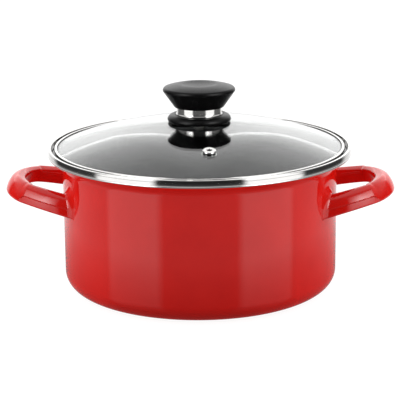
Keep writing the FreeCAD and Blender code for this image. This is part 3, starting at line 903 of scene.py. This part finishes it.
def make_knob_cap(phenolic):
    """Cap of the knob: a hollow cone round the stem that holds the insert, with a dished top."""
    floor = foot_of("knob_collar")
    neck = top_of("knob_collar")
    top = top_of("knob_cap")
    widest = radius_of("knob_cap")
    insert = 4.2 * MM
    insert_top = top - 15.4 * MM
    thread_end = top - 13.4 * MM
    stem = 8.0 * MM
    roof = top - 9.4 * MM
    roof_edge = 24.0 * MM
    cone_inner = 17.0 * MM
    cone_outer = widest - 9.9 * MM
    cone_top = top - 5.8 * MM
    shoulder = (widest - 1.6 * MM, top - 2.8 * MM)
    crown_curve = 70.0 * MM
    dish = 16.6 * MM
    depth = 1.9 * MM
    dish_curve = (dish * dish + depth * depth) / (2.0 * depth)
    cap = lathe("knob_cap_moulded", outline([
        (insert, floor),
        (stem, floor, 0.4 * MM),
        (stem, roof, 1.0 * MM),
        (roof_edge, roof, 1.5 * MM),
        (cone_inner, neck, 0.3 * MM),
        (cone_outer, neck, 0.6 * MM),
        (widest, cone_top),
        (*shoulder, 3.0 * MM, LEFT),
        (dish, top, crown_curve, LEFT),
        (0.0, top - depth, dish_curve, RIGHT),
        (0.0, thread_end),
        (KNOB_BORE, thread_end),
        (KNOB_BORE, insert_top),
        (insert, insert_top),
    ]), KNOB_SEGMENTS)
    place_piece(cap, "lid", ["knob_cap"], phenolic)


def dress(node, material):
    """Give a CAD node that is shown as it is a procedural material."""
    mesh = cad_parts[node].data
    mesh.materials.clear()
    mesh.materials.append(material)


# ---------------------------------------------------------------- studio


# The viewer's place, the lens in millimetres and its shift as a share of the picture.
VIEW_TURN = math.radians(2.1)
VIEW_RISE = math.radians(15.145)
VIEW_ROLL = math.radians(-0.5)
VIEW_DISTANCE = 1.3
VIEW_LENS = 132.318
VIEW_SHIFT = 0.01125
NEAREST_SEEN = 0.05
AIM = Vector((0.0, 0.0, 0.070))
TO_VIEWER = Vector((
    math.cos(VIEW_RISE) * math.sin(VIEW_TURN),
    -math.cos(VIEW_RISE) * math.cos(VIEW_TURN),
    math.sin(VIEW_RISE)))


def make_camera():
    camera = bpy.data.objects.new("photo_camera", bpy.data.cameras.new("photo_camera"))
    bpy.context.scene.collection.objects.link(camera)
    camera.data.lens = VIEW_LENS
    camera.data.shift_y = VIEW_SHIFT
    camera.data.clip_start = NEAREST_SEEN
    aim = (-TO_VIEWER).to_track_quat("-Z", "Y").to_matrix().to_4x4()
    roll = Matrix.Rotation(VIEW_ROLL, 4, "Z")
    camera.matrix_world = Matrix.Translation(AIM + TO_VIEWER * VIEW_DISTANCE) @ aim @ roll
    bpy.context.scene.camera = camera


# The floor's half width, and its glow to look at.
FLOOR_HALF = 6.0
FLOOR_GLOW = 0.93
# The floor as a light source: how bright it grows, and between which distances from the axis.
SHADE_START = 135.0 * MM
SHADE_END = 600.0 * MM
SHADE_GLOW = 0.9
# The painted shadow round the pot that the glaze reflects: how dark it is at the foot, and its reach.
PATCH_DEPTH = 0.42
PATCH_START = 150.0 * MM
PATCH_END = 290.0 * MM
PATCH_DROP = 0.5 * MM


def make_floor():
    """Plain pale floor: nearly even white to look at, darker near the pot as a light source."""
    made = Material(
        "pale_floor", Roughness=0.9, Specular_IOR_Level=0.0, Emission_Color=(1.0, 1.0, 1.0, 1.0))
    made.paint(made.noise(35.0, 5.0), (0.13, 0.13, 0.13), (0.15, 0.15, 0.15))
    shade = made.spread(made.distance_out(), 0.0, SHADE_GLOW, SHADE_START, SHADE_END)
    lit = made.node("ShaderNodeLightPath").outputs["Is Diffuse Ray"]
    glow = made.node("ShaderNodeMix", {0: lit, 3: shade}, {2: FLOOR_GLOW})
    made.feed("Emission Strength", glow.outputs[0])
    mesh = bpy.data.meshes.new("floor")
    corners = [(-1, -1), (1, -1), (1, 1), (-1, 1)]
    mesh.from_pydata([(x * FLOOR_HALF, y * FLOOR_HALF, 0.0) for x, y in corners], [], [(0, 1, 2, 3)])
    mesh.materials.append(made.material)
    floor = bpy.data.objects.new("floor", mesh)
    bpy.context.scene.collection.objects.link(floor)
    floor.visible_glossy = False


def make_floor_shade():
    """Painted shadow: a dark disc round the pot that only its own glaze reflects, hidden by the floor
    itself.
    """
    made = Material("floor_shade", Roughness=0.9, Specular_IOR_Level=0.0)
    made.paint(made.noise(35.0), (0.010, 0.006, 0.006), (0.016, 0.01, 0.01))
    made.feed("Alpha", made.spread(made.distance_out(), PATCH_DEPTH, 0.0, PATCH_START, PATCH_END))
    top = -PATCH_DROP
    foot = -2.0 * PATCH_DROP
    disc = lathe(
        "floor_shade", [(0.0, top), (PATCH_END, top), (PATCH_END, foot), (0.0, foot)],
        SMALL_SEGMENTS, flat_normals=False)
    disc.data.materials.append(made.material)
    disc.visible_camera = False


# The softboxes at the sides, at their brightest: brightness by degrees from the viewer.
SOFTBOX = [(37, 4.0), (44, 9.0), (52, 7.0), (60, 4.0), (70, 3.6)]
# What polished surfaces see: for each height in degrees, brightness by degrees from the viewer.
REFLECTED = [
    (-90, [(0, 0.30), (180, 0.30)]),
    (-60, [(0, 0.32), (180, 0.32)]),
    (-38, [(0, 0.32), (31, 0.32), (38, 0.60), (78, 0.60), (86, 0.40), (180, 0.40)]),
    (-25, [(0, 0.36), (30, 0.36), (37, 1.20), (79, 1.20), (84, 0.56), (134, 0.60), (180, 0.95)]),
    (-14.5, [(0, 0.37), (30, 0.37), (37, 1.25), (79, 1.25), (84, 0.58), (134, 0.62), (180, 0.95)]),
    (-11, [(0, 0.03), (31, 0.03), (36, 1.25), (80, 1.25), (84, 0.04), (132, 0.04), (142, 0.8), (180, 1.3)]),
    (6, [(0, 0.02), (31, 0.02), (35, 1.25), (76, 1.25), (82, 0.04), (132, 0.06), (142, 0.9), (180, 1.5)]),
    (14, [(0, 0.02), (31, 0.02), (37, 4.0), (50, 6.0), (68, 3.0), (76, 0.3),
          (132, 0.1), (142, 1.2), (180, 1.7)]),
    (19, [(0, 0.03), (31, 0.04), *SOFTBOX, (78, 0.3), (134, 0.35), (142, 1.5), (180, 1.8)]),
    (20, [(0, 0.04), (31, 0.05), *SOFTBOX, (78, 0.4), (134, 0.50), (142, 2.4), (174, 2.9), (180, 3.8)]),
    (22, [(0, 0.04), (31, 0.05), *SOFTBOX, (78, 0.4), (134, 0.60), (142, 1.7), (180, 1.8)]),
    (23, [(0, 0.04), (31, 0.05), *SOFTBOX, (78, 0.4), (134, 0.60), (142, 1.6), (180, 1.65)]),
    (31, [(0, 0.05), (31, 0.06), (37, 3.5), (44, 8.0), (52, 6.0), (68, 3.0), (76, 0.5),
          (134, 0.80), (142, 1.25), (180, 1.30)]),
    (42, [(0, 0.08), (31, 0.08), (37, 1.5), (44, 4.0), (52, 3.0), (68, 1.5), (76, 0.6),
          (134, 0.85), (166, 1.12), (180, 0.98)]),
    (47, [(0, 0.10), (31, 0.15), (80, 0.40), (134, 0.85), (166, 1.0), (180, 0.86)]),
    (64, [(0, 0.90), (180, 0.95)]),
    (90, [(0, 1.20), (180, 1.20)]),
]
# What matt surfaces are lit by: mostly low light from the sides and behind.
LIGHTING = [
    (-90, [(0, 0.08), (180, 0.08)]),
    (-35, [(0, 0.08), (50, 0.30), (180, 0.70)]),
    (-8, [(0, 0.10), (30, 0.60), (60, 2.10), (100, 2.80), (180, 2.20)]),
    (12, [(0, 0.10), (30, 0.60), (60, 2.35), (100, 3.30), (180, 2.40)]),
    (35, [(0, 0.06), (50, 0.70), (90, 2.40), (120, 2.40), (180, 1.80)]),
    (90, [(0, 0.44), (180, 0.44)]),
]
# The heights in REFLECTED are raised by SWEEP_LOW degrees and by those that SWEEP gives by
# degrees from the viewer, SWEEP_STEP at most. It bows the sweep's edge up behind the pot.
SWEEP_LOW = -2.5
SWEEP_STEP = 13.0
SWEEP = [(0, 2.5), (150, 2.5), (165, 0.5), (170, 0.5), (174, 6.0), (177, 11.0), (180, 13.0)]
# The brightest level: the colour ramps hold shares of it, and it is the world's strength.
BRIGHTEST = 9.0


def level_ramp(world, share, stops, top=BRIGHTEST):
    """Level as a share of the top one, by the share of a half turn from the viewer."""
    ramp = world.node("ShaderNodeValToRGB", {"Fac": share})
    elements = ramp.color_ramp.elements
    while len(elements) < len(stops):
        elements.new(0.5)
    for element, (degrees, level) in zip(elements, stops):
        element.position = degrees / 180.0
        grey = level / top
        element.color = (grey, grey, grey, 1.0)
    return ramp.outputs["Color"]


def banded_light(world, share, height, bands):
    """Blend the bands' brightness by height in degrees over the horizon."""
    low, stops = bands[0]
    light = level_ramp(world, share, stops)
    for high, stops in bands[1:]:
        amount = world.spread(height, 0.0, 1.0, low, high)
        light = world.mix(amount, light, level_ramp(world, share, stops))
        low = high
    return light


class World(Material):
    """Node builder on the scene's world."""

    def __init__(self):
        world = bpy.data.worlds.new("studio")
        world.use_nodes = True
        bpy.context.scene.world = world
        self.tree = world.node_tree
        self.shader = self.tree.nodes["Background"]
        self.place = self.node("ShaderNodeTexCoord").outputs["Generated"]

    def along(self, axis):
        """How far the direction looked in points along an axis."""
        dot = self.node("ShaderNodeVectorMath", {0: self.place}, {1: axis}, operation="DOT_PRODUCT")
        return dot.outputs["Value"]

    def mix(self, amount, first, second):
        """The first colour, with as much of the second one as the amount says."""
        mixed = self.node("ShaderNodeMix", {0: amount}, data_type="RGBA")
        colours = [socket for socket in mixed.inputs if socket.type == "RGBA"]
        self.tree.links.new(first, colours[0])
        self.tree.links.new(second, colours[1])
        return [socket for socket in mixed.outputs if socket.type == "RGBA"][0]


def turn_from_viewer(world):
    """Share of a half turn, seen from above, between the direction looked in and the viewer."""
    toward = world.along((math.sin(VIEW_TURN), -math.cos(VIEW_TURN), 0.0))
    aside = world.along((math.cos(VIEW_TURN), math.sin(VIEW_TURN), 0.0))
    beside = world.node("ShaderNodeMath", {0: aside}, operation="ABSOLUTE").outputs[0]
    turn = world.node("ShaderNodeMath", {0: beside, 1: toward}, operation="ARCTAN2").outputs[0]
    return world.spread(turn, 0.0, 1.0, 0.0, math.pi)


def height_looked_at(world):
    """Degrees over the horizon of the direction looked in."""
    up = world.node("ShaderNodeSeparateXYZ", {"Vector": world.place}).outputs[2]
    rise = world.node("ShaderNodeMath", {0: up}, operation="ARCSINE").outputs[0]
    return world.spread(rise, -90.0, 90.0, -math.pi / 2.0, math.pi / 2.0)


def make_studio():
    """White cyclorama: softboxes at both sides, a bright sweep behind and a pale ceiling."""
    world = World()
    share = turn_from_viewer(world)
    height = height_looked_at(world)
    raised = world.spread(level_ramp(world, share, SWEEP, SWEEP_STEP), SWEEP_LOW, SWEEP_LOW + SWEEP_STEP)
    sweep = world.node("ShaderNodeMath", {0: height, 1: raised}, operation="SUBTRACT").outputs[0]
    reflected = banded_light(world, share, sweep, REFLECTED)
    lighting = banded_light(world, share, height, LIGHTING)
    white = world.node("ShaderNodeRGB").outputs[0]
    white.default_value = (1.0 / BRIGHTEST, 1.0 / BRIGHTEST, 1.0 / BRIGHTEST, 1.0)
    path = world.node("ShaderNodeLightPath").outputs
    light = world.mix(path["Diffuse Depth"], reflected, lighting)
    world.feed("Color", world.mix(path["Is Camera Ray"], light, white))
    world.shader.inputs["Strength"].default_value = BRIGHTEST
    # If the world were sampled as a lamp, matt surfaces would be lit by the reflected table too.
    bpy.context.scene.world.cycles.sampling_method = "NONE"
    bpy.context.scene.view_settings.view_transform = "Standard"


# ---------------------------------------------------------------- everything


make_camera()
make_studio()
make_floor()
make_floor_shade()

enamel = red_enamel()
rim_steel = polished_steel("rim_steel", low=0.06, high=0.13)
lid_steel = polished_steel("lid_steel", low=0.08, high=0.16)
phenolic = black_phenolic()
silicone = black_silicone()
plated = plain_steel()

make_pot_shell(enamel, black_enamel())
make_rim_band(rim_steel)
make_handle("right_handle", 1.0, enamel)
make_handle("left_handle", -1.0, enamel)
make_lid_glass(tempered_glass())
make_lid_band(lid_steel)
make_lid_seal(silicone)
make_vent(lid_steel)
make_knob_base(phenolic)
make_knob_collar(lid_steel)
make_knob_cap(phenolic)
for rubber_node in ("vent_gasket", "knob_gasket", "knob_lower_seal"):
    dress(rubber_node, silicone)
for steel_node in ("vent_washer", "knob_washer", "knob_lock_washer", "knob_screw"):
    dress(steel_node, plated)
dress("knob_insert", brass())
